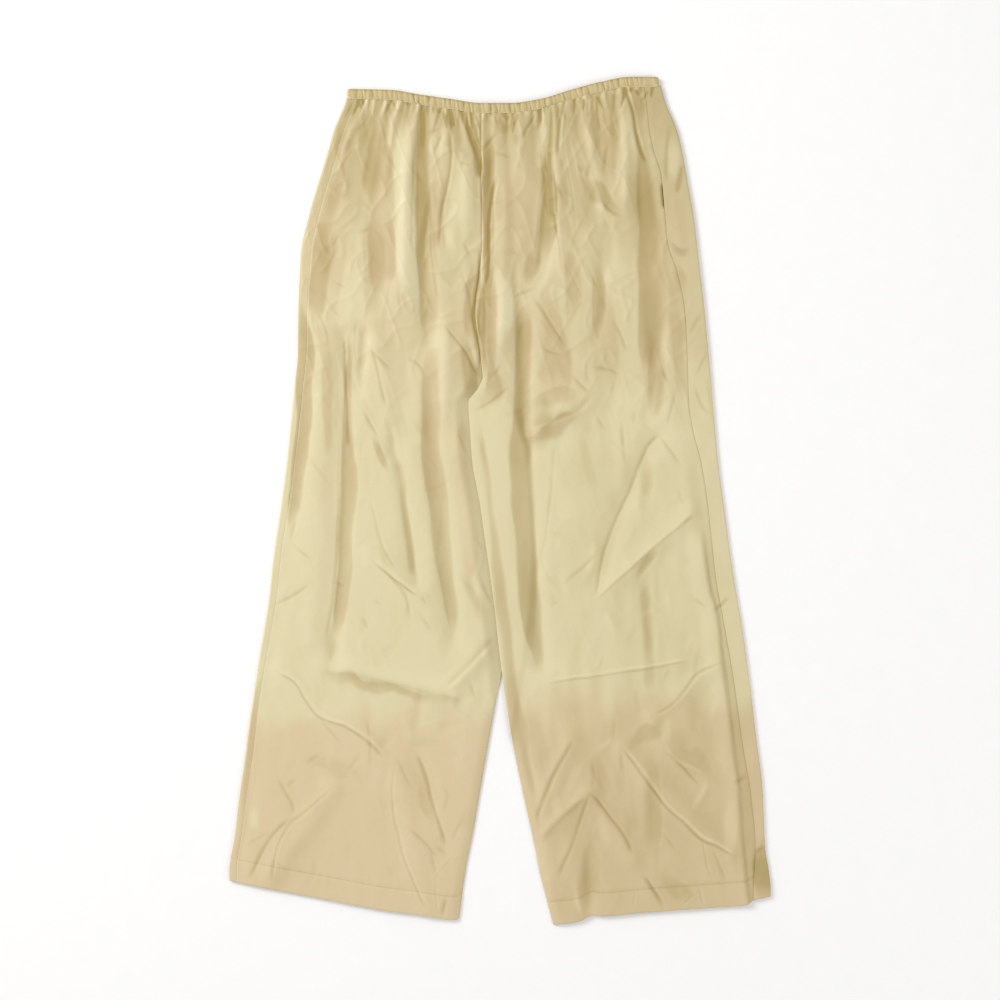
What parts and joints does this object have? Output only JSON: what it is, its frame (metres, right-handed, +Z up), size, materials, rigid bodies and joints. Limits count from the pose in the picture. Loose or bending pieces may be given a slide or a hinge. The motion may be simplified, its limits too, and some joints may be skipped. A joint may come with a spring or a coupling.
{
  "type": "pull-on wide-leg pants laid flat",
  "caption": "Relaxed wide-leg satin pants with a gathered elastic waist and in-seam side pockets, laid flat with the front up.",
  "frame": {"origin": "middle of the garment's outline, on the surface that it lies on", "axes": "+X to the viewer's right (the wearer's left) as seen from the front, +Y towards the waist, +Z up from the surface, towards the viewer"},
  "size_m": [0.6597, 1.0334, 0.0099],
  "materials": {
    "satin": "champagne satin, soft sheen",
    "satin_casing": "champagne satin gathered over elastic",
    "pocketing": "champagne satin, reverse side"
  },
  "bodies": {
    "root": {"front_right": "satin", "front_left": "satin", "back_right": "satin", "back_left": "satin", "waist_casing": "satin_casing", "pocket_bag_left": "pocketing", "pocket_bag_right": "pocketing"}
  },
  "joints": []
}
